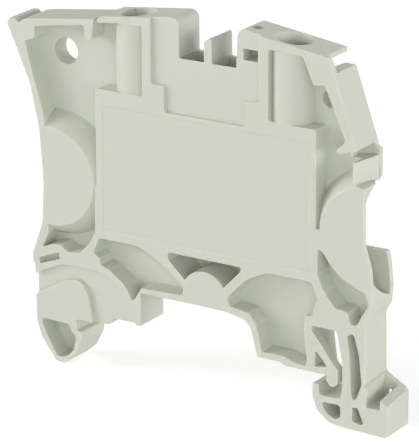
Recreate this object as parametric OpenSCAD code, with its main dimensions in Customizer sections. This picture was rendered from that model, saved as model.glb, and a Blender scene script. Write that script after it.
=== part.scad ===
// Feed-through terminal block with two screw clamps, for a 35 mm top-hat rail.
// The rail's seat is the plane z = 0 and the rail's middle is x = 0.
// x runs along the block, y through its thickness and z up, away from the rail.
// The closed moulded side faces -y and the open side, with the metal parts, faces +y.

/* [Housing] */
// Thickness of the block, one pitch on the rail
pitch = 5.2; // [5:0.05:5.5]
// Height of the roof over the rail's seat
roof_z = 41; // [40.8:0.1:41.4]
// Wall between the metal parts and the closed side
front_wall = 0.6; // [0.5:0.05:0.65]
// Depth of the upper pockets in the closed side
upper_depth = 2.6; // [2.2:0.1:2.8]
// Depth of the lower pockets in the closed side
lower_depth = 2.7; // [2.4:0.1:2.9]
// Web left between the pockets of the two sides
web = 0.8; // [0.6:0.05:1]
// Depth of the stepped recess around the jumper slots
step_depth = 0.5; // [0.3:0.05:0.6]
// Depth of the shallow inset in the panel
inset_depth = 0.06; // [0.05:0.01:0.2]
// Diameter of the cross hole in the upper left pocket
cross_hole_d = 3.4; // [3:0.1:3.6]
// Diameter of the test hole in the roof
test_hole_d = 1.7; // [1.4:0.1:1.8]

/* [Rail] */
// Width of the rail that the feet grip
rail_w = 35; // [34.9:0.05:35.1]
// Thickness of the rail's lip, with its play
lip_gap = 1.35; // [1.2:0.05:1.4]

/* [Clamp] */
// Distance between the two clamp screws
screw_spacing = 22; // [21.8:0.1:22.2]
// Diameter of the screw's thread
screw_d = 3; // [2.8:0.05:3]
// Diameter of the screw's head
head_d = 3.8; // [3.6:0.05:3.85]
// Height of the screw's head
head_h = 2; // [1.7:0.1:2.1]
// Width of the screwdriver slot
slot_w = 0.7; // [0.5:0.05:0.8]
// Gap between bar and cage floor with the clamp open
open_gap = 2.9; // [2.8:0.05:3]
// Length of a cage along the block
cage_l = 5; // [4.6:0.1:5.2]
// Sheet that a cage is bent from
sheet = 0.5; // [0.45:0.05:0.55]
// Thickness of the threaded top of a cage
cage_top = 1.3; // [1.1:0.1:1.4]
// Thickness of the current bar
bar_t = 1.15; // [1:0.05:1.2]
// Diameter of the wire entry
wire_d = 2.8; // [2.6:0.05:2.8]

/* [Hidden] */

// Plain colours of the moulding and the metals
plastic_grey = [0.80, 0.82, 0.78];
tinned_copper = [0.78, 0.74, 0.68];
plated_steel = [0.72, 0.73, 0.74];

// A cut reaches this far past the surface it opens
past = 0.5;
// A block this wide reaches past both ends of the housing
beyond = 40;
// Play of a part that slides or sits in the housing, on each side
play = 0.05;
// Segments in each rounded corner of an outline
corner_steps = 5;
round_fn = 64;
ball_fn = 96;

// The middle of the clamps stands a little right of the rail's middle
mid_x = 1.35;
// Outer edges of the rail
rail_l = -rail_w / 2;
rail_r = rail_w / 2;

// Levels of the clamps, from the wire up to the screw's head
wire_z = 18.1;
bar_z = wire_z + open_gap / 2;
bar_top = bar_z + bar_t;
bar_to_cage = 0.25;
cage_floor = wire_z - open_gap / 2;
cage_base = cage_floor - sheet;
cage_ceiling = bar_top + bar_to_cage;
cage_crown = cage_ceiling + cage_top;
chamber_base = cage_base - play;
chamber_crown = 26.4;
ledge_t = 0.7;
ledge_top = chamber_crown + ledge_t;
head_base = ledge_top + play;
head_over = 0.25;
head_room = head_base + head_h + head_over;
// Cuts through the roof reach up to here
above_roof = roof_z + 1;

// A cage is just wide enough for the screw to stand between its sides
screw_side_gap = 0.1;
cage_w = screw_d + 2 * (screw_side_gap + sheet);

// Depths from the closed side: the clamps' axis, and half widths round it
axis_d = front_wall + play + cage_w / 2;
axis_y = axis_d - pitch / 2;
cage_play = 0.1;
chamber_half = cage_l / 2 + cage_play;
screw_play = 0.15;
shank_half = screw_d / 2 + screw_play;
head_r = head_d / 2;
head_hole_r = head_r + screw_play;
// The screwdriver's tunnel is narrower than the head, so the screw can't fall out
captive = 0.1;
tunnel_r = head_r - captive;
tunnel_flare = 0.7;
flare_z = 38.8;
flare_h = 2;
tunnel_wall = 0.95;
funnel_r = tunnel_r + tunnel_wall;
funnel_z = 30;
funnel_top = 39.3;
bar_side_gap = 0.15;
bar_w = cage_w - 2 * sheet - 2 * bar_side_gap;

// The bulge round each wire entry is part of a ball, and the bowl in it is a smaller one
bulge_r = 8.8;
bulge_depth = 6.15;
bulge_from_screw = 11.4;
bulge_x = screw_spacing / 2 + bulge_from_screw;
bowl_r = 7.45;
bowl_from_screw = 11.65;
bowl_x = screw_spacing / 2 + bowl_from_screw;
bowl_drop = 0.7;
bowl_z = wire_z - bowl_drop;
// A cylinder carries a ball on to the block's end, a hair thinner so that the two meet cleanly
carry = 0.05;
carry_l = 8;
// The back wall is open beside each bowl, from below to above the wire
mouth_below = 2.7;
mouth_above = 6.2;
mouth_low = wire_z - mouth_below;
mouth_high = wire_z + mouth_above;

// The deepest pockets leave only a web on the open side
deep = pitch - web;
// Height of the raised pad round the left foot
pad_h = 0.6;

// Jumper slots: level of the valley's rim, floor of the slots, and the shafts from it to the bar
valley_z = 35.95;
slot_floor = 28;
slot_rim = 0.8;
slot_l = 3.4;
slot_x = [-0.7, 3.8];
shaft_l = 2.2;
bar_hole_r = 0.8;

// Outline of the block, clockwise from its left end: x, z and corner radius
upper_edge = [
    // Left end, up from the fixed foot
    [-24, 6.6, 0.3], [-24, 7.7, 0.6], [-22.5, 11.9, 4], [-22.2, 17, 10], [-22.7, 24, 8], [-24, 29.8, 8],
    // Upper left corner with its notch, then the seat of the left marker and the left roof
    [-27.2, 36.85, 0.3], [-26.75, 37.6, 0.15], [-26, 37.6, 0.15], [-25.5, 37.15, 0.1],
    [-24.7, 37.7, 0.2], [-23.8, 37.9, 0.3], [-13.9, 39.25, 0.1], [-13.3, 39.7, 0.2], [-2.55, roof_z, 1],
    // Jumper valley with the tooth between its two slots
    [-2.5, valley_z, 0.2], [1, valley_z, 0.15], [1, 38.6, 0.4], [2.1, 39.2, 0.3], [2.1, valley_z, 0.15],
    [5.5, valley_z, 0.2],
    // Right roof, the plate of the right marker, the lug below it and the waist
    [5.7, roof_z, 1], [18.3, 39.35, 0.3], [18.9, 38.1, 0.2], [22.3, 28.5, 0.2], [22.1, 27.3, 0.2],
    [22.1, 24.4, 0.3], [23.3, 24.1, 0.2], [23.3, 20, 8], [23.4, 17, 2],
    // Lower right end, down to the stem of the flexible foot
    [24.25, 14.4, 1.5], [24.6, 11, 1.5], [24.4, 9, 0.6]
];
// Stem, release box, sole, hook and lip's seat of the flexible foot, from the rail's right edge
right_foot = [
    [6.15, 7.6, 0.5], [6.3, 0.1, 0.5], [8.95, -1.45, 0.3], [9.35, -1.85, 0.3], [9.35, -6.4, 0.4],
    [1.4, -6.05, 1.5], [-0.3, -4.8, 1], [-1, -3, 0.6], [-1, -lip_gap, 0.15], [0.9, -lip_gap, 0],
    [0.9, 0, 0.1]
];
// Hollow between the seats of the rail's two lips
rail_hollow = [
    [12.6, 0, 0.6], [11.9, 0.35, 0.6], [8.75, 0.35, 0.25], [7.8, 3.9, 1.2], [6.9, 4.8, 1.2], [3.8, 5.3, 3],
    [-8, 5.3, 0.25], [-8, 0.95, 0.15], [-12.3, 0.95, 0.3], [-13.1, 0, 0.3]
];
// Lip's seat, hook and sole of the fixed foot, from the rail's left edge
left_foot = [
    [-0.1, 0, 0.2], [-0.1, -lip_gap, 0.2], [0.7, -lip_gap - 0.25, 0.25], [0.5, -2.9, 0.8],
    [-0.5, -4.9, 1.2], [-2, -6.2, 0.9], [-3.3, -6.1, 0.5], [-5.4, -3.3, 1.5], [-6.1, -1.2, 1.5],
    [-6.2, 6.1, 0.2]
];
outline = concat(upper_edge, moved(right_foot, rail_r), rail_hollow, moved(left_foot, rail_l));

// Upper pockets of the closed side
upper_left = [
    [-23.1, 37, 0.15], [-23.1, 35.7, 0.1], [-23.4, 35.4, 0.2], [-24.6, 35, 0.3], [-23.4, 30.5, 6],
    [-22, 26, 6], [-21.7, wire_z, 0], [-14.3, wire_z, 0], [-14.3, 30.5, 0.4], [-7.5, 30.5, 0.35],
    [-7.5, 39.3, 0.2], [-11, 39.15, 0.3], [-13.9, 38.75, 0.1], [-14.5, 38.9, 0.1], [-14.7, 36.7, 0.3],
    [-15.2, 36.2, 0.3], [-15.75, 36.5, 0.3], [-15.8, 37.9, 0.2], [-16.1, 38.2, 0.1]
];
upper_right = [
    [10.2, 39.1, 0.3], [14.9, 39, 0.8], [16.4, 35.6, 0.3], [17.9, 35.9, 0.2], [20.7, 29.7, 0.4],
    [20.5, 29.2, 0.3], [19.6, 28.4, 0.3], [19.5, 27.9, 0.3], [20.3, 27.95, 0.1], [21.75, 28.2, 0],
    [21.75, wire_z, 0], [16.8, wire_z, 0], [16.8, 30.3, 0.3], [10.2, 30.3, 0.4]
];
// Slot under the right marker, closed by the web, and the back of the lug below it, which stands out
marker_slot = [
    [20.2, 27.95, 0.1], [22.9, 28.8, 0], [22.9, 27.45, 0], [21.75, 27.1, 0.1], [20.2, 26.9, 0.1]
];
lug_back = [
    [21.5, 28.4, 0], [21.9, 28.4, 0.2], [22.9, 27.8, 0.4], [22.9, 24.3, 0.3], [22.4, 23.7, 0.3],
    [21.5, 23.7, 0]
];
// Notch above the right marker, behind the closed side's wall, with its inner end at two depths
notch_inner = [[16.9, 36.9, 0.2], [16.3, 38.5, 0.3]];
notch_inner_back = [[15.6, 36.4, 0.2], [14.95, 38.3, 0.3]];
notch_outer = [[17.9, 38.8, 0.1], [17.9, 40, 0], [19.6, 40, 0], [19.6, 37.4, 0], [17.7, 37.4, 0.1]];
notch_mid = 3.2;
// Slot in the roof at the end of the left marker's seat
roof_slot = [[-14.35, 38.4, 0], [-13.95, 38.4, 0], [-13.95, 40, 0], [-14.35, 40, 0]];

// Stepped recess round the jumper slots, the shallow inset and the square window
step_recess = [
    [-6.3, above_roof, 0], [-6.3, 32.35, 0.35], [-4.4, 32.35, 0.2], [-4.4, 29.05, 0.5], [7, 29.05, 0.4],
    [7, 32.3, 0.2], [8.95, 32.3, 0.35], [8.95, above_roof, 0]
];
panel_inset = [[-13.4, 12.35, 0.2], [16, 12.35, 0.2], [16, 28.6, 0.2], [-13.4, 28.6, 0.2]];
window = [[6.5, 37.1, 0.05], [8.5, 37.1, 0.05], [8.5, 38.5, 0.05], [6.5, 38.5, 0.05]];
window_depth = axis_d + 0.3;
test_hole_x = 7.1;

// Lower pockets of the closed side
arc_left = [
    [-14.9, 9.3, 0.2], [-14, 11.35, 0.5], [-8.2, 11.35, 3], [-4, 9.2, 8], [-1.8, 7.3, 0.8],
    [-1.85, 6.15, 0.4], [-7.9, 6, 0.4], [-8.9, 4.35, 0.3], [-9.3, 4.15, 0.1], [-10.3, 5.9, 4],
    [-12.6, 7.5, 3], [-13.9, 7.9, 0.4], [-14, 8.75, 0.1]
];
trapezium = [
    [-4, 11.35, 0.3], [6.5, 11.35, 0.5], [6.3, 10.7, 0.5], [3.8, 8.1, 0], [-1.4, 8.1, 0], [-3.9, 10.4, 0.4]
];
// The round boss that the trapezium leaves
boss_at = [1.2, 6.6];
boss_r = 3.2;
arc_right = [
    [10, 11.35, 3], [16.2, 11.35, 0.4], [17.3, 9.1, 0.3], [16.8, 8.7, 0.1], [16.4, 7.1, 0.4],
    [rail_r - 2.1, 6.9, 0.2], [rail_r - 2.2, 4.5, 1], [rail_r - 1.8, 1.6, 0.3], [rail_r - 1.9, 0.55, 0.3],
    [rail_r - 3.1, 0.6, 0.3], [12.4, 1.2, 0.4], [9.4, 1.15, 0.3], [8.6, 4.5, 1], [7.6, 5.75, 0.8],
    [4.9, 6.05, 0.4], [4.45, 7.1, 0.8], [7, 9.8, 6]
];
mid_left = [
    [-22.6, 8.6, 0.1], [-21.6, 10.6, 1], [-21.5, wire_z, 0], [-14.6, wire_z, 0], [-14.6, 12.2, 1],
    [-15.3, 10.6, 2], [-16.9, 8.9, 0.6], [-18.7, 8.7, 0.4], [-19.8, 9.4, 0.5], [-21, 9.3, 0.5]
];
mid_right = [
    [17.1, 15.8, 0.2], [22.4, 11.65, 0.6], [23.6, 11.3, 0.4], [24.1, 9.8, 0.4], [23.3, 8.6, 0.3],
    [22.5, 7.05, 0.3], [21.6, 7.05, 0.3], [21.3, 8.5, 0.2], [19.6, 8.7, 0.6], [18.1, 10.4, 2],
    [17.1, 12.4, 1]
];
slant_slot = [[-23.1, 7.15, 0.2], [-20.1, 8.35, 0.1], [-20, 7.5, 0.1], [-22.9, 6.4, 0.2]];
slant_depth = 1.2;
// Sunk field between the arc rib and the raised pad of the left foot, open to the left end
pad_field = [
    [-25, 4.3, 0], [-19.8, 6.95, 5], [-13.2, 7, 6], [-10.4, 4.7, 3], [-9, 1.8, 1.5], [-8.6, 0.4, 0],
    [-15.1, -0.5, 0], [-15.8, 3.6, 1.5], [-17, 5.35, 1.2], [-19.2, 4.9, 3], [-25, 1.5, 0]
];
// Pocket of the fixed foot, from the rail's left edge
foot_left = [
    [-5.3, -0.75, 0.25], [-1.2, -0.85, 0.3], [-1, -1.7, 0.3], [-0.15, -2.35, 0.5], [-0.65, -4.3, 1.4],
    [-1.9, -5.45, 1.2], [-3.1, -5.4, 0.5], [-4.5, -3, 2], [-5.3, -1.3, 0.5]
];

// Slots and pockets of the flexible foot, from the rail's right edge
// The slot that frees the foot runs down the stem, round the stop finger and out to the rail
foot_gap = [
    [-1.1, 5.9, 0.2], [2.3, 5.85, 0.3], [2.65, 3.9, 3], [3.05, 2.2, 2], [3.15, -1, 2], [2.9, -2.7, 0.4],
    [-0.1, -2.7, 0.4], [-0.1, -lip_gap + 0.1, 0], [0.9, -0.6, 0.1], [1.3, -1.2, 0.3], [1.85, -1.45, 0.4],
    [2.5, -0.8, 0.4], [2.5, 0.9, 0.5], [1.4, 2.1, 1], [0.4, 3.5, 2], [-1.1, 5.2, 0.3]
];
// Behind its front the stop finger is cut away
finger_relief = [
    [-1.05, 5.4, 0.3], [-0.95, 3.4, 2], [-0.45, -0.3, 0], [0.7, -1.9, 0], [2.6, -1.9, 0], [2.75, 1, 0],
    [2, 5.4, 0]
];
finger_t = 1.3;
stem_slot = [
    [3.75, 5.6, 0.3], [4.6, 6, 0.5], [5.4, 3.2, 5], [5.75, -0.3, 0.8], [5.1, -2.1, 0.4],
    [4.6, -2.55, 0.2], [4.3, -1.6, 0.4], [4.15, 2.2, 8]
];
foot_triangle = [[-0.6, 2.9, 0.15], [1.1, 1, 0.15], [-0.75, 0.75, 0.15]];
foot_window = [[0.15, -3.55, 0.3], [2.8, -3.5, 0.4], [2.95, -5.1, 0.5], [2.1, -5.4, 0.4], [1, -4.85, 0.6]];
sole_window = [
    [4.55, -3.4, 0.2], [5.25, -3.35, 0.2], [6.1, -5.25, 0.2], [5.7, -5.4, 0.2], [4.5, -5.15, 0.3]
];
// Screwdriver pocket of the release box, open to the front and the top, and its drain in the back
release_pocket = [[6.45, -3, 0.1], [8.3, -3, 0.1], [8.3, 1, 0], [6.45, 1, 0]];
release_drain = [[6.75, -2.75, 0], [7.4, -2.75, 0], [7.4, -1.9, 0], [6.75, -1.9, 0]];
// The box's top falls to the right, and towards the closed side too
release_fall = 30.3;
release_tilt = 7;
release_top = [6.3, 0.16];

// Cores in the open side: behind the upper left pocket, round the slots and under the bar
upper_core_depth = 3.6;
upper_core = [
    [-22.3, 36.2, 0.6], [-16, 37.2, 0.4], [-13.4, 37.5, 0.6], [-13.4, 30.5, 1], [-15, 27, 1], [-21, 27, 1]
];
core_depth = 1.4;
core_left = [[-6.1, 38.9, 0.4], [-3.4, 39.2, 0.4], [-3.4, 29.3, 0.4], [-6.1, 29.3, 0.4]];
core_right = [[6.4, 35.6, 0.4], [8.8, 35.6, 0.4], [8.8, 29.3, 0.4], [6.4, 29.3, 0.4]];
low_core_l = [[-6.2, 18.4, 0.4], [0.7, 18.4, 0.4], [0.7, 12.4, 0.4], [-6.2, 12.4, 0.4]];
low_core_r = [[2, 18.4, 0.4], [8.9, 18.4, 0.4], [8.9, 12.4, 0.4], [2, 12.4, 0.4]];

// Cross holes in the webs of the upper pockets, the left one in a boss of its own
cross_left = [-20.25, 33.7];
cross_boss = 0.9;
cross_right = [17.2, 33.5];
cross_right_r = 1.1;

// x of a clamp's axis, on side -1 (left) or 1 (right)
function clamp_x(side) = mid_x + side * screw_spacing / 2;

// An outline's points, moved along x
function moved(list, dx) = [for (p = list) p + [dx, 0, 0]];

// x and z of an outline's point, without its radius
function flat(p) = [p[0], p[1]];

// Point at angle a on a circle
function on_circle(centre, r, a) = centre + r * [cos(a), sin(a)];

// Points of one corner of an outline, an arc of radius r that touches both edges
function corner(a, p, b, r) =
    let (
        to_a = flat(a) - flat(p),
        to_b = flat(b) - flat(p),
        u = to_a / norm(to_a),
        v = to_b / norm(to_b),
        half = acos(max(-1, min(1, u * v))) / 2,
        reach = min(r / tan(half), 0.49 * norm(to_a), 0.49 * norm(to_b)),
        radius = reach * tan(half),
        centre = flat(p) + (u + v) / norm(u + v) * radius / sin(half),
        start = flat(p) + u * reach - centre,
        finish = flat(p) + v * reach - centre,
        a0 = atan2(start[1], start[0]),
        turn = atan2(start[0] * finish[1] - start[1] * finish[0], start * finish)
    )
    r == 0 ? [flat(p)]
           : [for (i = [0:corner_steps]) on_circle(centre, radius, a0 + turn * i / corner_steps)];

// An outline with all its corners rounded
function rounded(list) =
    [for (i = [0:len(list) - 1])
        each corner(list[(i + len(list) - 1) % len(list)], list[i], list[(i + 1) % len(list)], list[i][2])];

// An outline in x and z, made solid from depth d0 to depth d1
module slab(list, d0, d1) {
    translate([0, d1 - pitch / 2, 0])
        rotate([90, 0, 0])
            linear_extrude(d1 - d0)
                polygon(rounded(list));
}

// A rectangle in x and z, made solid from depth d0 to depth d1
module block(x0, x1, z0, z1, d0, d1) {
    translate([x0, d0 - pitch / 2, z0])
        cube([x1 - x0, d1 - d0, z1 - z0]);
}

// A round bar through the thickness
module cross_pin(at, r, d0, d1) {
    translate([at[0], d1 - pitch / 2, at[1]])
        rotate([90, 0, 0])
            cylinder(r = r, h = d1 - d0, $fn = round_fn);
}

// A round post along z, on the clamps' middle depth
module post(x, z0, z1, r0, r1) {
    translate([x, axis_y, z0])
        cylinder(r1 = r0, r2 = r1, h = z1 - z0, $fn = round_fn);
}

// A ball by a wire entry, carried out through the end of the block
module end_ball(side, dx, z, r) {
    translate([mid_x + side * dx, bulge_depth - pitch / 2, z]) {
        sphere(r = r, $fn = ball_fn);
        rotate([0, side * 90, 0])
            cylinder(r = r - carry, h = carry_l, $fn = ball_fn);
    }
}

// A pocket that leaves the bulge of the wire entry standing
module pocket_round_bulge(list, depth, side) {
    difference() {
        slab(list, -past, depth);
        end_ball(side, bulge_x, wire_z, bulge_r);
    }
}

// Everything above the sloping top of the release box
module release_slope() {
    size = 8;
    translate([rail_r + release_top[0], pitch / 2, release_top[1]])
        rotate([0, release_fall, 0])
            rotate([release_tilt, 0, 0])
                translate([0, -size, 0])
                    cube(size);
}

// Everything moulded into the closed side
module front_pockets() {
    pocket_round_bulge(upper_left, upper_depth, -1);
    pocket_round_bulge(upper_right, upper_depth, 1);
    pocket_round_bulge(mid_left, lower_depth, -1);
    pocket_round_bulge(mid_right, lower_depth, 1);
    slab(step_recess, -past, step_depth);
    slab(panel_inset, -past, inset_depth);
    slab(pad_field, -past, pad_h);
    slab(slant_slot, -past, slant_depth);
    for (list = [arc_left, arc_right, moved(foot_left, rail_l)])
        slab(list, -past, lower_depth);
    for (list = [foot_triangle, foot_window, sole_window, release_pocket])
        slab(moved(list, rail_r), -past, deep);
    slab(marker_slot, -past, deep);
    difference() {
        slab(trapezium, -past, deep);
        cross_pin(boss_at, boss_r, -2 * past, pitch);
    }
    release_slope();
}

// Slots that go right through, and those behind the closed side's wall
module through_slots() {
    for (list = [roof_slot, moved(foot_gap, rail_r), moved(stem_slot, rail_r)])
        slab(list, -past, pitch + past);
    slab(moved(finger_relief, rail_r), finger_t, pitch + past);
    slab(concat(notch_inner, notch_outer), slot_rim, notch_mid + past);
    slab(concat(notch_inner_back, notch_outer), notch_mid, pitch + past);
    slab(moved(release_drain, rail_r), deep - past, pitch + past);
}

// Cores that keep the moulding's walls even, cut from the open side
module back_cores() {
    difference() {
        slab(upper_core, upper_core_depth, pitch + past);
        cross_pin(cross_left, cross_hole_d / 2 + cross_boss, 0, pitch + 2 * past);
    }
    for (list = [core_left, core_right, low_core_l, low_core_r])
        slab(list, core_depth, pitch + past);
    for (list = [arc_left, arc_right, moved(foot_left, rail_l)])
        slab(list, lower_depth + web, pitch + past);
}

// Mouth of a wire entry and the hole from it to the cage
module wire_entry(side) {
    intersection() {
        end_ball(side, bowl_x, bowl_z, bowl_r);
        block(-beyond, beyond, 0, above_roof, front_wall, deep);
    }
    intersection() {
        end_ball(side, bowl_x, bowl_z, bowl_r);
        block(-beyond, beyond, mouth_low, mouth_high, front_wall, pitch + past);
    }
    translate([clamp_x(side), axis_y, wire_z])
        rotate([0, side * 90, 0])
            cylinder(d = wire_d, h = bowl_from_screw, $fn = round_fn);
}

// Room for one clamp: the cage's chamber, the head's seat and the screwdriver's tunnel
module clamp_room(side) {
    x = clamp_x(side);
    block(x - chamber_half, x + chamber_half, chamber_base, chamber_crown, front_wall, pitch + past);
    post(x, chamber_crown - past, ledge_top + past, shank_half, shank_half);
    block(x - shank_half, x + shank_half, chamber_crown - past, ledge_top + past, axis_d, pitch + past);
    post(x, ledge_top, head_room, head_hole_r, head_hole_r);
    block(x - head_hole_r, x + head_hole_r, ledge_top, head_room, axis_d, pitch + past);
    post(x, head_room - past, above_roof, tunnel_r, tunnel_r);
    post(x, flare_z, flare_z + flare_h, tunnel_r, tunnel_r + tunnel_flare);
}

// Slots for plug-in jumpers, from the valley down to the bar
module jumper_slots() {
    for (x = slot_x) {
        block(x - slot_l / 2, x + slot_l / 2, slot_floor, valley_z + past, slot_rim, pitch - slot_rim);
        block(x - shaft_l / 2, x + shaft_l / 2, bar_z, slot_floor + past,
              axis_d - bar_hole_r, axis_d + bar_hole_r);
    }
}

// Channel that the current bar lies in
module bar_channel() {
    block(clamp_x(-1), clamp_x(1), bar_z - play, bar_top + play, axis_d - bar_w / 2 - play, pitch + past);
}

// Round walls of the screwdriver tunnels, seen in the upper pockets
module funnels() {
    intersection() {
        union() {
            for (side = [-1, 1])
                post(clamp_x(side), funnel_z, funnel_top, funnel_r, funnel_r);
        }
        block(-beyond, beyond, 0, above_roof, 0, pitch);
    }
}

// The moulded body, one piece with its fixed foot and its flexible foot
module housing() {
    color(plastic_grey)
    difference() {
        union() {
            difference() {
                slab(outline, 0, pitch);
                front_pockets();
            }
            slab(lug_back, deep, pitch);
            funnels();
        }
        through_slots();
        back_cores();
        for (side = [-1, 1]) {
            wire_entry(side);
            clamp_room(side);
        }
        jumper_slots();
        bar_channel();
        cross_pin(cross_left, cross_hole_d / 2, 0, pitch + past);
        cross_pin(cross_right, cross_right_r, 0, pitch + past);
        slab(window, -past, window_depth);
        post(test_hole_x, window[0][1], above_roof, test_hole_d / 2, test_hole_d / 2);
    }
}

// Shallow grooves that bite into the wire
module grip_grooves(x, z) {
    groove_r = 0.15;
    groove_step = 1.2;
    for (dx = [-groove_step, 0, groove_step])
        translate([x + dx, axis_y, z])
            rotate([90, 0, 0])
                cylinder(r = groove_r, h = cage_w, center = true, $fn = 16);
}

// Bar that carries the current between the two cages
module current_bar() {
    end_half = cage_l / 2 - cage_play;
    color(tinned_copper)
    difference() {
        block(clamp_x(-1) - end_half, clamp_x(1) + end_half, bar_z, bar_top,
              axis_d - bar_w / 2, axis_d + bar_w / 2);
        for (x = slot_x)
            post(x, bar_z - past, bar_top + past, bar_hole_r, bar_hole_r);
        for (side = [-1, 1])
            grip_grooves(clamp_x(side), bar_z);
    }
}

// Bent steel loop round bar and wire, with the screw's thread in its top
module clamp_cage(side) {
    x = clamp_x(side);
    half = cage_w / 2;
    inner = half - sheet;
    bend = 0.7;
    bend_in = bend - sheet;
    thread_r = screw_d / 2 + play;
    loop = [[-half, cage_base, bend], [half, cage_base, bend],
            [half, cage_crown, bend], [-half, cage_crown, bend]];
    opening = [[-inner, cage_floor, bend_in], [inner, cage_floor, bend_in],
               [inner, cage_ceiling, bend_in], [-inner, cage_ceiling, bend_in]];
    color(plated_steel)
    difference() {
        translate([x - cage_l / 2, axis_y, 0])
            rotate([90, 0, 90])
                linear_extrude(cage_l)
                    difference() {
                        polygon(rounded(loop));
                        polygon(rounded(opening));
                    }
        post(x, cage_ceiling - past, cage_crown + past, thread_r, thread_r);
        grip_grooves(x, cage_floor);
    }
}

// Slotted clamp screw: its tip stands on the bar and its head in the tunnel
module clamp_screw(side) {
    x = clamp_x(side);
    tip = bar_top + 0.02;
    tip_taper = 0.4;
    edge = 0.25;
    head_top = head_base + head_h;
    slot_depth = 0.45 * head_h;
    color(plated_steel)
    difference() {
        union() {
            post(x, tip, tip + tip_taper, screw_d / 2 - tip_taper, screw_d / 2);
            post(x, tip + tip_taper, head_base, screw_d / 2, screw_d / 2);
            post(x, head_base, head_top - edge, head_r, head_r);
            post(x, head_top - edge, head_top, head_r, head_r - edge);
        }
        translate([x - head_r - past, axis_y - slot_w / 2, head_top - slot_depth])
            cube([2 * (head_r + past), slot_w, slot_depth + past]);
    }
}

module clamp_cage_left() { clamp_cage(-1); }
module clamp_cage_right() { clamp_cage(1); }
module clamp_screw_left() { clamp_screw(-1); }
module clamp_screw_right() { clamp_screw(1); }

housing();
current_bar();
clamp_cage_left();
clamp_cage_right();
clamp_screw_left();
clamp_screw_right();
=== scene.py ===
# %% [markdown]
# # Feed-through terminal block
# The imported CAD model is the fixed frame: every piece below is made in metres, in the same
# frame, and rides on one of its bodies. x runs along the block, y through its thickness and
# z up, away from the rail. The closed moulded side looks towards -y and the open side, where
# the clamps show, towards +y.

# %% Load the frame
import math
from contextlib import contextmanager

import bmesh
import bpy
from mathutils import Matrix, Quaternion, Vector


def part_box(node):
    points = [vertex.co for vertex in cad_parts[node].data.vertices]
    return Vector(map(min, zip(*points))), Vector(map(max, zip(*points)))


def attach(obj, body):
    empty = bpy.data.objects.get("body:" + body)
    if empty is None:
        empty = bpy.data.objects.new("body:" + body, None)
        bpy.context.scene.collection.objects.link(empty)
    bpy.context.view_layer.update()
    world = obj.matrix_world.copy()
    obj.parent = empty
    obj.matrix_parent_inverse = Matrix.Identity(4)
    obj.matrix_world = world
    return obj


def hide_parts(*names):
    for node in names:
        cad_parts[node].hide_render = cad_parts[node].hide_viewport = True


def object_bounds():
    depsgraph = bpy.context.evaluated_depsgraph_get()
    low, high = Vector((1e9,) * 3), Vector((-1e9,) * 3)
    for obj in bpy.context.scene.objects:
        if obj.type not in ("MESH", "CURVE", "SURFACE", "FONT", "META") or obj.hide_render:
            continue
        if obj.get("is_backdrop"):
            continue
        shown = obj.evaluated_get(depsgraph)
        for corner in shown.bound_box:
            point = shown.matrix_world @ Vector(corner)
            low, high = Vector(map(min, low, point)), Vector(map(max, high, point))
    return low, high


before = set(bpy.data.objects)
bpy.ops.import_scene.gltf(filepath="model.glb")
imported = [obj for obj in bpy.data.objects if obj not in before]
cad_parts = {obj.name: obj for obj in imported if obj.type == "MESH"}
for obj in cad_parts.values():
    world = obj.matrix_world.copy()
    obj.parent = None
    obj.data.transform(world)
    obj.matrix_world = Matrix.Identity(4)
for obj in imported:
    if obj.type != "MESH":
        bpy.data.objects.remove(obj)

MM = 0.001
cad_low, cad_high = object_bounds()
print("CAD box in mm:", [round(v / MM, 2) for v in cad_high - cad_low])

# %% [markdown]
# ## Two helpers
# A new object shows only once it is linked to the scene's collection. And a mesh is edited as
# a bmesh, which has to be written back and freed, so a `with` block takes care of both.

# %% Link an object, edit a mesh
def linked(name, data):
    made = bpy.data.objects.new(name, data)
    bpy.context.scene.collection.objects.link(made)
    return made


@contextmanager
def edited(mesh):
    """Opens a mesh as a bmesh and writes it back at the end of the with block."""
    work = bmesh.new()
    work.from_mesh(mesh)
    yield work
    work.to_mesh(mesh)
    work.free()

# %% [markdown]
# ## Camera
# The photograph was taken with a long lens from the right and a little above. Its angle and
# distance were found by fitting straight edges of the moulding, so the camera is written as
# an aim point on the closed side, two angles and a distance. The lens follows from the focal
# length in pixels, because a sensor of 36 mm spans the image's long side.

# %% Place the camera
IMAGE_H = 444
SENSOR_MM = 36
FOCAL_PX = 3500
PX_PER_MM = 8.333
NEAREST, FARTHEST = 0.01, 10
AZIMUTH, ELEVATION, ROLL = (math.radians(a) for a in (32.34, 18.89, -0.19))
UP = Vector((0, 0, 1))
aim = Vector((2.05, -2.6, 16.35)) * MM
back = Vector((math.sin(AZIMUTH) * math.cos(ELEVATION),
               -math.cos(AZIMUTH) * math.cos(ELEVATION),
               math.sin(ELEVATION)))

camera = linked("camera", bpy.data.cameras.new("camera"))
camera.data.sensor_width = SENSOR_MM
camera.data.lens = SENSOR_MM * FOCAL_PX / IMAGE_H
camera.data.clip_start, camera.data.clip_end = NEAREST, FARTHEST
camera.location = aim + back * (FOCAL_PX / PX_PER_MM * MM)
camera.rotation_mode = "QUATERNION"
camera.rotation_quaternion = (-back).to_track_quat("-Z", "Y") @ Quaternion(UP, ROLL)
bpy.context.scene.camera = camera
print("camera stands", round((camera.location - aim).length / MM), "mm from the panel")

# %% [markdown]
# ## Writing materials as sums
# A material is a tree of nodes. To keep the trees readable, a small class wraps one output
# socket, and Python's own + and * on it add Math nodes. Any other node comes from the method
# `node`, which takes the node's type, its settings and what goes into its sockets.

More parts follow.
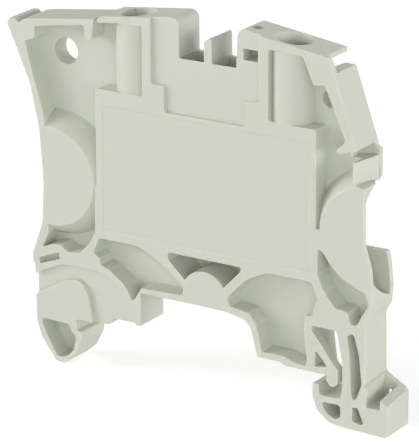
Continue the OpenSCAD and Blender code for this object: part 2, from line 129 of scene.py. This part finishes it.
# %% The socket class
class Signal:
    def __init__(self, tree, socket=None):
        self.tree = tree
        self.socket = socket

    def node(self, kind, inputs, output=0, **settings):
        made = self.tree.nodes.new(kind)
        for key, value in settings.items():
            setattr(made, key, value)
        for key, value in inputs.items():
            if isinstance(value, Signal):
                self.tree.links.new(value.socket, made.inputs[key])
            else:
                made.inputs[key].default_value = value
        return Signal(self.tree, made.outputs[output])

    def maths(self, operation, first, second):
        return self.node("ShaderNodeMath", {0: first, 1: second}, operation=operation)

    def __add__(self, other): return self.maths("ADD", self, other)
    def __radd__(self, other): return self.maths("ADD", other, self)
    def __mul__(self, other): return self.maths("MULTIPLY", self, other)
    def __rmul__(self, other): return self.maths("MULTIPLY", other, self)

    def noise(self, scale, detail=2, roughness=0.5):
        """Noise on these coordinates, from 0 to 1; scale is in features to the metre."""
        return self.node("ShaderNodeTexNoise", {"Vector": self, "Scale": scale,
                                                "Detail": detail, "Roughness": roughness})

    def stretched(self, x, y, z):
        """These coordinates scaled along each axis, so that a pattern on them runs one way."""
        return self.node("ShaderNodeMapping", {"Vector": self, "Scale": (x, y, z)})

    def mixed(self, low, high):
        """A colour between low and high."""
        return self.node("ShaderNodeMix", {"Factor": self, "A": (*low, 1), "B": (*high, 1)},
                         output=2, data_type="RGBA", clamp_factor=True)

# %% An empty finish, and what goes into it
def new_finish(name):
    """An empty material and its Principled shader."""
    material = bpy.data.materials.new(name)
    material.use_nodes = True
    return material, material.node_tree.nodes["Principled BSDF"]


def on_piece(material):
    """The coordinates of the piece that wears this material."""
    return Signal(material.node_tree).node("ShaderNodeTexCoord", {}, output="Object")


def feed(shader, **signals):
    """Connects signals to the shader's sockets, with _ for a space in a socket's name."""
    for key, signal in signals.items():
        signal.tree.links.new(signal.socket, shader.inputs[key.replace("_", " ")])


def bumped(height, strength, depth):
    """A normal from a height signal; depth is the real height of the bumps in metres."""
    return height.node("ShaderNodeBump",
                       {"Height": height, "Strength": strength, "Distance": depth})

# %% [markdown]
# ## Moulded polyamide
# The housing is one shot of light grey polyamide. The tool's cavity is spark eroded, so the
# surface has a very fine even grain that breaks up highlights, and the melt leaves faint
# clouds where it cooled at different rates. An image could carry all this, but noise on Object
# coordinates has no seams and stays with the piece in every pose. Polyamide also lets a little
# light in, which softens the look of its edges and pockets, so half of the light scatters
# below the surface.

# %% The plastic
PLASTIC_DARK = (0.612, 0.633, 0.546)
PLASTIC_PALE = (0.638, 0.658, 0.572)
PLASTIC_IOR = 1.53
CLOUDS, GRAIN, PITS = 140, 9000, 2600
FLOW = (60, 60, 260)
GRAIN_DEPTH = 0.008 * MM
SCATTERED = 0.5
SCATTER_TINT = (1, 0.9, 0.75)
SCATTER_DEPTH = 0.6 * MM

plastic, shader = new_finish("moulded_polyamide")
place = on_piece(plastic)
clouds = place.noise(CLOUDS, detail=3)
flow = place.stretched(*FLOW).noise(1)
grain = place.noise(GRAIN, roughness=0.6)
pits = place.noise(PITS, detail=1)
feed(shader,
     Base_Color=(clouds * 0.6 + flow * 0.4).mixed(PLASTIC_DARK, PLASTIC_PALE),
     Roughness=0.44 + 0.12 * grain + 0.05 * clouds,
     Normal=bumped(grain * 0.7 + pits * 0.3, strength=0.25, depth=GRAIN_DEPTH))
shader.inputs["IOR"].default_value = PLASTIC_IOR
shader.inputs["Subsurface Weight"].default_value = SCATTERED
shader.inputs["Subsurface Radius"].default_value = SCATTER_TINT
shader.inputs["Subsurface Scale"].default_value = SCATTER_DEPTH
print("finish made:", plastic.name)

# %% [markdown]
# ## Metals
# The cages are bent from zinc plated strip, so their grain runs along the strip. The screws
# are headed and rolled from plated wire, and the bar is tinned copper, softer and warmer. An
# anisotropic shader would only stretch the highlights, while noise that is stretched along one
# axis shows the drawn lines too. The three metals differ only in colour, roughness and the way
# the grain runs, so one function makes them all.

# %% The metals
SPANGLE, FINE_GRAIN = 900, 12000


def plated(name, low, high, rough, lines, depth):
    """A metal between two colours; lines says how fine its grain is along each axis."""
    material, shader = new_finish(name)
    place = on_piece(material)
    drawn = place.stretched(*lines).noise(1, detail=3, roughness=0.6)
    spangle = place.noise(SPANGLE)
    fine = place.noise(FINE_GRAIN, detail=1)
    feed(shader,
         Base_Color=(spangle * 0.6 + drawn * 0.4).mixed(low, high),
         Roughness=rough + 0.16 * drawn + 0.06 * spangle,
         Normal=bumped(drawn * 0.8 + fine * 0.2, strength=0.4, depth=depth))
    shader.inputs["Metallic"].default_value = 1
    return material


strip_steel = plated("zinc_plated_strip", (0.36, 0.37, 0.39), (0.60, 0.61, 0.61),
                     rough=0.28, lines=(500, 9000, 9000), depth=0.006 * MM)
screw_steel = plated("plated_screw", (0.46, 0.46, 0.45), (0.64, 0.63, 0.61),
                     rough=0.22, lines=(4000, 4000, 4000), depth=0.003 * MM)
tinned = plated("tinned_copper", (0.48, 0.43, 0.37), (0.64, 0.59, 0.52),
                rough=0.32, lines=(350, 7000, 7000), depth=0.006 * MM)
print("finishes made:", strip_steel.name, screw_steel.name, tinned.name)

# %% [markdown]
# ## Copies of the CAD nodes
# A CAD node is a soup of loose triangles, and it has to stay as it is. So each node is copied,
# the copy's vertices are merged where they meet, and triangles that lie in one plane are
# joined to whole faces. The copy then gets a finish and a body, and stands for its node.

# %% Copy and dress a node
FLAT = math.radians(0.4)
SPECK = 0.0005 * MM


def join_flat(work):
    """Joins neighbouring faces that lie in one plane."""
    bmesh.ops.dissolve_limit(work, angle_limit=FLAT, verts=work.verts, edges=work.edges,
                             delimit=set())


def merged_copy(node, name, reach=SPECK):
    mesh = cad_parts[node].data.copy()
    mesh.name = name
    with edited(mesh) as work:
        bmesh.ops.remove_doubles(work, verts=work.verts, dist=reach)
        join_flat(work)
    return linked(name, mesh)


def dress(piece, node, body, material):
    """Gives a piece its finish and its body, and lets it stand for its CAD node."""
    piece.data.materials.clear()
    piece.data.materials.append(material)
    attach(piece, body)
    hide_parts(node)
    print(piece.name, len(piece.data.polygons), "faces before its modifiers")

# %% [markdown]
# ## Softened edges
# The CAD model has knife edges, but a moulded or bent edge never is one: a radius of a tenth
# of a millimetre is what catches the light. A Bevel modifier could round them, but here some
# edges have to be left out for what lies beside them, so the operator is used, which takes a
# list of edges. It rounds them all to the same width, because a width that changes along a
# chain of edges would make the bevel cross itself. Where an edge that stays sharp runs into a
# rounded one, its sharp line is carried one edge further, because the shading would bleed
# round its end. Weighted normals keep the flat faces flat.

# %% Which edges stay sharp
SHARP = math.radians(38)
BARE_REACH = 0.9 * MM


def is_sharp(edge):
    return abs(edge.calc_face_angle_signed(0)) > SHARP


def stays_sharp(edge, width, bare):
    """True beside a step lower than the width, and near a bare point."""
    sides = [step for loop in edge.link_loops if len(loop.face.verts) == 4
             for step in (loop.link_loop_next.edge, loop.link_loop_prev.edge)]
    low_step = any(step.calc_length() < width for step in sides)
    return low_step or any((vert.co - point).length < BARE_REACH
                           for vert in edge.verts for point in bare)


def onward(vert):
    """The edge that goes on in the line of the sharp edge that ends at this vertex."""
    sharp = next(edge for edge in vert.link_edges if not edge.smooth)
    line = vert.co - sharp.other_vert(vert).co
    others = [edge for edge in vert.link_edges if edge.smooth]
    return max(others, key=lambda edge:
               line.dot((edge.other_vert(vert).co - vert.co).normalized()))

# %% Round the others
def soften(piece, width, bare=()):
    """Rounds every sharp edge with a bevel of this width.

    The edges of a step lower than the width stay sharp, and so do those that come near a
    bare point, where two surfaces touch at too fine an angle for a bevel.
    """
    with edited(piece.data) as work:
        rounded = []
        for edge in filter(is_sharp, work.edges):
            if stays_sharp(edge, width, bare):
                edge.smooth = False
            else:
                rounded.append(edge)
        bmesh.ops.bevel(work, geom=rounded, offset=width, offset_type="OFFSET",
                        affect="EDGES", segments=2, profile=0.5, material=-1,
                        clamp_overlap=False, loop_slide=False)
        bmesh.ops.dissolve_degenerate(work, edges=work.edges, dist=SPECK)
        ends = [vert for vert in work.verts
                if sum(not edge.smooth for edge in vert.link_edges) == 1]
        for edge in [onward(vert) for vert in ends]:
            edge.smooth = False
    piece.data.shade_smooth()
    even = piece.modifiers.new("flat_faces", "WEIGHTED_NORMAL")
    even.keep_sharp = True
    print("rounded", len(rounded), "edges of", piece.name)

# %% [markdown]
# ## Border of the panel
# The large panel of the closed side is sunk by a hair's breadth, and on the real moulding its
# border shows as a faint soft line. A plain step of that height would vanish, so the sunk face
# is inset, and its old rim is lifted to the level of the closed side, which turns the step
# into a narrow slope.

# %% Turn a low step into a slope
SUNK_STEP = 0.06 * MM
SLOPE = 0.15 * MM
LEVEL_REACH = 0.01 * MM
SQUARE_ON = 0.99
WELD = 0.001 * MM


def sloped_border(piece):
    """Turns the step round the sunk panel of the closed side into a slope."""
    with edited(piece.data) as work:
        level = cad_low.y + SUNK_STEP
        sunk = [face for face in work.faces if face.normal.y < -SQUARE_ON
                and abs(face.calc_center_median().y - level) < LEVEL_REACH]
        rim = {vert.co.copy().freeze() for face in sunk for vert in face.verts}
        slope = bmesh.ops.inset_region(work, faces=sunk, thickness=SLOPE,
                                       use_even_offset=True)["faces"]
        for vert in work.verts:
            if vert.co.copy().freeze() in rim:
                vert.co.y = cad_low.y
        bmesh.ops.remove_doubles(work, verts=work.verts, dist=WELD)
        for edge in {edge for face in slope for edge in face.edges}:
            edge.smooth = all(face in slope for face in edge.link_faces)
    print("sloped the border of", len(sunk), "sunk face")

# %% [markdown]
# ## Lug under the right marker
# The right face of this lug leans out towards its back. The CAD lug has a straight face with a
# step behind it. Moving the lug's own vertices would drag the faces beside it along, so a
# wedge is raised from its plan and joined to the housing by a Boolean modifier. The result is
# taken as a plain mesh at once, because the wedge isn't kept. Its vertices come in another
# order at each run, so they are sorted by place before any are merged.

# %% Raise a plan
def raised_plan(name, plan, low, high):
    """A prism over a plan, with all sizes in millimetres."""
    mesh = bpy.data.meshes.new(name)
    with edited(mesh) as work:
        sole = work.faces.new([work.verts.new((x * MM, y * MM, low * MM)) for x, y in plan])
        raised = bmesh.ops.extrude_face_region(work, geom=[sole])["geom"]
        top = [item for item in raised if isinstance(item, bmesh.types.BMVert)]
        bmesh.ops.translate(work, verts=top, vec=(0, 0, (high - low) * MM))
        bmesh.ops.recalc_face_normals(work, faces=work.faces)
    return linked(name, mesh)

# %% Sort a mesh by place
def corners(part):
    return sorted(vert.co[:] for vert in part.verts)


def sort_by_place(work):
    """Numbers the vertices, edges and faces by where they are."""
    for parts, place in ((work.verts, lambda vert: vert.co[:]),
                         (work.edges, corners), (work.faces, corners)):
        for index, part in enumerate(sorted(parts, key=place)):
            part.index = index
        parts.sort()

# %% Join a wedge to the lug
LUG_PLAN = [(22.0, -2.6), (22.1, -2.6), (22.9, 1.8), (22.9, 1.85), (22.0, 1.85)]
LUG_LOW, LUG_HIGH = 24.1, 27.17
HOUSING_MERGE = 0.05 * MM


def join_wedge(piece):
    """Fills the step of the lug, so that its right face leans out towards its back."""
    wedge = raised_plan("lug_wedge", LUG_PLAN, LUG_LOW, LUG_HIGH)
    union = piece.modifiers.new("lug", "BOOLEAN")
    union.operation = "UNION"
    union.solver = "EXACT"
    union.object = wedge
    result = piece.evaluated_get(bpy.context.evaluated_depsgraph_get())
    piece.data = bpy.data.meshes.new_from_object(result)
    piece.modifiers.clear()
    bpy.data.objects.remove(wedge)
    with edited(piece.data) as work:
        sort_by_place(work)
        bmesh.ops.remove_doubles(work, verts=work.verts, dist=HOUSING_MERGE)
        join_flat(work)
    print("joined a wedge to the lug of", piece.name)

# %% [markdown]
# ## Housing
# The moulding gets its sloped border and its lug before its edges are rounded. The round
# walls of the two screwdriver tunnels just touch the plane of the closed side, where a bevel
# would overshoot, so the ends of those two lines are named and stay bare.

# %% The housing
HOUSING_EDGE = 0.08 * MM
TUNNEL_ENDS = {"clamp_screw_left": (30.5, 39.2), "clamp_screw_right": (30.3, 39.05)}

housing = merged_copy("housing", "moulded_housing", HOUSING_MERGE)
sloped_border(housing)
join_wedge(housing)
bare = []
for node, ends in TUNNEL_ENDS.items():
    low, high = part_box(node)
    bare += [Vector(((low.x + high.x) / 2, cad_low.y, z * MM)) for z in ends]
soften(housing, HOUSING_EDGE, bare)
dress(housing, "housing", "block", plastic)

# %% [markdown]
# ## Bar and cages
# The bar is sheared from strip and the cages are bent from it, so their edges are only
# broken, by less than a tenth of a millimetre. The grooves that grip the wire are stamped
# from inside and don't come through a cage's sides. Plugs in their ends would leave seams. So
# the mesh is cut inside each side, and outside the cut the round end of each groove is drawn
# together to one point, which leaves the side whole.

# %% Close the grooves of a cage
SHEET = 0.5 * MM
CUT_DEPTH = 0.9 * SHEET
GROOVE_STEP = 1.2 * MM
RIM_REACH = 0.25 * MM


def closed_grooves(piece, node):
    """Closes both ends of a cage's three grooves."""
    low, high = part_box(node)
    with edited(piece.data) as work:
        for level in (low.y + CUT_DEPTH, high.y - CUT_DEPTH):
            bmesh.ops.bisect_plane(work, geom=work.verts[:] + work.edges[:] + work.faces[:],
                                   plane_co=(0, level, 0), plane_no=(0, 1, 0))
        for shift in (-GROOVE_STEP, 0, GROOVE_STEP):
            for side in (low.y, high.y):
                end = Vector(((low.x + high.x) / 2 + shift, side, low.z + SHEET))
                rim = [vert for vert in work.verts if (vert.co - end).length < RIM_REACH]
                point = sum((vert.co for vert in rim), Vector()) / len(rim)
                bmesh.ops.pointmerge(work, verts=rim, merge_co=point)
        join_flat(work)
    print("closed the groove ends of", piece.name)

# %% The bar and the cages
BAR_EDGE = 0.06 * MM
CAGE_EDGE = 0.05 * MM

bar = merged_copy("current_bar", "bar")
soften(bar, BAR_EDGE)
dress(bar, "current_bar", "block", tinned)
for side in ("left", "right"):
    cage = merged_copy("clamp_cage_" + side, "cage_" + side)
    closed_grooves(cage, "clamp_cage_" + side)
    soften(cage, CAGE_EDGE)
    dress(cage, "clamp_cage_" + side, "cage_" + side, strip_steel)

# %% [markdown]
# ## Clamp screws
# A rolled thread is a ridge that climbs round a thinner core. Bump in the material could hint
# at it, but not in the screw's outline. The CAD screw is a plain cylinder, so only its head
# with the slot is kept. The core is a profile spun round the screw's axis, and the ridge is a
# small cross-section spun with a rise at each step. It fades out at both ends, as a rolled
# thread does.

# %% A core
ROOT_R = 1.2 * MM
TIP_TAPER = 0.4 * MM
STEPS_A_TURN = 24


def spun_core(work, axis, tip, top):
    """A round core with a tapered tip."""
    outline = [(0, tip), (ROOT_R - TIP_TAPER, tip), (ROOT_R, tip + TIP_TAPER),
               (ROOT_R, top), (0, top)]
    points = [work.verts.new((axis.x + r, axis.y, z)) for r, z in outline]
    edges = [work.edges.new(pair) for pair in zip(points, points[1:])]
    bmesh.ops.spin(work, geom=points + edges, cent=axis, axis=UP, dvec=(0, 0, 0),
                   angle=2 * math.pi, steps=2 * STEPS_A_TURN, use_merge=True)
    bmesh.ops.remove_doubles(work, verts=work.verts, dist=WELD)
    bmesh.ops.recalc_face_normals(work, faces=work.faces)

# %% A ridge
THREAD_PITCH = 0.5 * MM
CREST_R = 1.5 * MM
CREST_FLAT = 0.06 * MM
RIDGE_FOOT = 0.43 * MM
SUNK = 0.05 * MM
FADE_STEPS = 12


def climbing_ridge(work, axis, low, high):
    """A thread's ridge, sunk a little into the core."""
    foot_r = ROOT_R - SUNK
    section = [(foot_r, -RIDGE_FOOT / 2), (CREST_R, -CREST_FLAT / 2),
               (CREST_R, CREST_FLAT / 2), (foot_r, RIDGE_FOOT / 2)]
    steps = int((high - low - RIDGE_FOOT) / THREAD_PITCH * STEPS_A_TURN)
    points = [work.verts.new((axis.x + r, axis.y, low + RIDGE_FOOT / 2 + dz))
              for r, dz in section]
    edges = [work.edges.new((a, b)) for a, b in zip(points, points[1:] + points[:1])]
    bmesh.ops.spin(work, geom=points + edges, cent=axis, axis=UP,
                   dvec=UP * (THREAD_PITCH / STEPS_A_TURN),
                   angle=2 * math.pi * steps / STEPS_A_TURN, steps=steps)
    work.verts.ensure_lookup_table()
    for index, vert in enumerate(work.verts):
        step = index // len(section)
        full = min(1, step / FADE_STEPS, (steps - step) / FADE_STEPS)
        out = Vector((vert.co.x - axis.x, vert.co.y - axis.y, 0))
        faded = foot_r + (out.length - foot_r) * full
        vert.co += out.normalized() * (faded - out.length)
    bmesh.ops.holes_fill(work, edges=[edge for edge in work.edges if edge.is_boundary])
    bmesh.ops.dissolve_degenerate(work, edges=work.edges, dist=SPECK)
    bmesh.ops.recalc_face_normals(work, faces=work.faces)

# %% A head
HEAD_H = 2 * MM
NECK = 0.4 * MM
HEAD_EDGE = 0.05 * MM


def keep_head(work, level):
    """Cuts a screw off below its head, closes it and breaks its edges."""
    cut = bmesh.ops.bisect_plane(work, geom=work.verts[:] + work.edges[:] + work.faces[:],
                                 plane_co=(0, 0, level), plane_no=UP, clear_inner=True)
    rim = [edge for edge in cut["geom_cut"] if isinstance(edge, bmesh.types.BMEdge)]
    bmesh.ops.holes_fill(work, edges=rim)
    bmesh.ops.bevel(work, geom=list(filter(is_sharp, work.edges)), offset=HEAD_EDGE,
                    affect="EDGES", segments=2, profile=0.5, material=-1, clamp_overlap=True)

# %% The screws
def add_part(whole, make, *sizes):
    """Makes a part in a mesh of its own and adds it to the whole."""
    made = bpy.data.meshes.new("screw_part")
    with edited(made) as part:
        make(part, *sizes)
    whole.from_mesh(made)
    bpy.data.meshes.remove(made)


for side in ("left", "right"):
    node = "clamp_screw_" + side
    low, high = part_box(node)
    axis = (low + high) / 2
    neck_base = high.z - HEAD_H - NECK
    screw = merged_copy(node, "screw_" + side)
    with edited(screw.data) as whole:
        keep_head(whole, neck_base)
        add_part(whole, spun_core, axis, low.z, neck_base + SUNK)
        add_part(whole, climbing_ridge, axis, low.z + TIP_TAPER / 2, neck_base)
    screw.data.shade_smooth()
    screw.data.set_sharp_from_angle(angle=SHARP)
    dress(screw, node, "screw_" + side, screw_steel)

# %% [markdown]
# ## Floor
# The photograph is a cut-out on white. The floor is a plain sheet that the block's sole
# stands on. More light would whiten it, but would bleach the block too. So it keeps the
# block's soft shadow, and an emission that only the camera and mirrors see lifts it to white.

# %% The floor
FLOOR_HALF = 3
FLOOR_PALE = 0.9
FLOOR_ROUGH = 0.9
FLOOR_LIFT = 0.5
SEEN_BY = ("Is Camera Ray", "Is Glossy Ray", "Is Transmission Ray")


def seen_directly(tree):
    """1 for rays from the camera, a mirror or glass, and 0 for rays that carry light."""
    first, *others = (Signal(tree).node("ShaderNodeLightPath", {}, output=name)
                      for name in SEEN_BY)
    return sum(others, first)


floor = linked("floor", bpy.data.meshes.new("floor"))
with edited(floor.data) as work:
    bmesh.ops.create_grid(work, x_segments=1, y_segments=1, size=FLOOR_HALF)
    bmesh.ops.translate(work, verts=work.verts, vec=(0, 0, cad_low.z))
floor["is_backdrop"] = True

floor_paper, shader = new_finish("floor_paper")
shader.inputs["Base Color"].default_value = (FLOOR_PALE, FLOOR_PALE, FLOOR_PALE, 1)
shader.inputs["Roughness"].default_value = FLOOR_ROUGH
shader.inputs["Emission Strength"].default_value = 1
lift = seen_directly(floor_paper.node_tree)
feed(shader, Emission_Color=lift.mixed((0, 0, 0), (FLOOR_LIFT, FLOOR_LIFT, FLOOR_LIFT)))
floor.data.materials.append(floor_paper)
print("floor lies at", round(cad_low.z / MM, 2), "mm")

# %% [markdown]
# ## Light
# The light is that of a small product studio with large soft lamps. In the photograph the
# ends that face right are a little brighter than the panel, the roof and the pockets are
# darker, and the round walls darken towards the right. So most of the lamps stand low, in a
# ring round the block, with more light from the left than the camera's side would suggest,
# and only a weak one hangs over it. Their watts make the panel about as bright as its own
# colour is written.

# %% The lamps, each with its place, size and watts
LAMPS = {
    "front_left": ((-0.40, -0.85, 0.15), 0.7, 1.5),
    "front_right": ((0.50, -0.80, 0.15), 0.7, 3.9),
    "left": ((-0.80, -0.45, 0.35), 0.6, 4.8),
    "right": ((0.90, -0.40, 0.05), 0.6, 2.2),
    "right_rear": ((0.85, 0.20, 0.10), 0.5, 4.0),
    "rear": ((-0.20, 0.90, 0.15), 0.7, 3.4),
    "top": ((0, -0.15, 0.90), 0.6, 0.6),
}

for name, (spot, size, watts) in LAMPS.items():
    lamp = linked(name, bpy.data.lights.new(name, "AREA"))
    lamp.data.shape = "DISK"
    lamp.data.size = size
    lamp.data.energy = watts
    lamp.location = spot
    lamp.rotation_mode = "QUATERNION"
    lamp.rotation_quaternion = (aim - Vector(spot)).to_track_quat("-Z", "Y")
print("lamps:", ", ".join(LAMPS))

# %% [markdown]
# ## World
# The world shows the camera plain white, and lights the block only faintly from all sides, so
# that the pockets don't go black.

# %% The world
AMBIENT = 0.1

world = bpy.data.worlds.new("studio")
world.use_nodes = True
bpy.context.scene.world = world
sky = world.node_tree.nodes["Background"]
sky.inputs["Color"].default_value = (1, 1, 1, 1)
strength = AMBIENT + (1 - AMBIENT) * seen_directly(world.node_tree)
world.node_tree.links.new(strength.socket, sky.inputs["Strength"])
bpy.context.scene.view_settings.view_transform = "Standard"
print("the world lights the block at", AMBIENT)

# %% [markdown]
# ## Sizes
# The dressed model should keep the CAD model's box, so both boxes are printed.

# %% Print the sizes
low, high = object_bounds()
print("visual box in mm:", [round(v / MM, 2) for v in high - low])
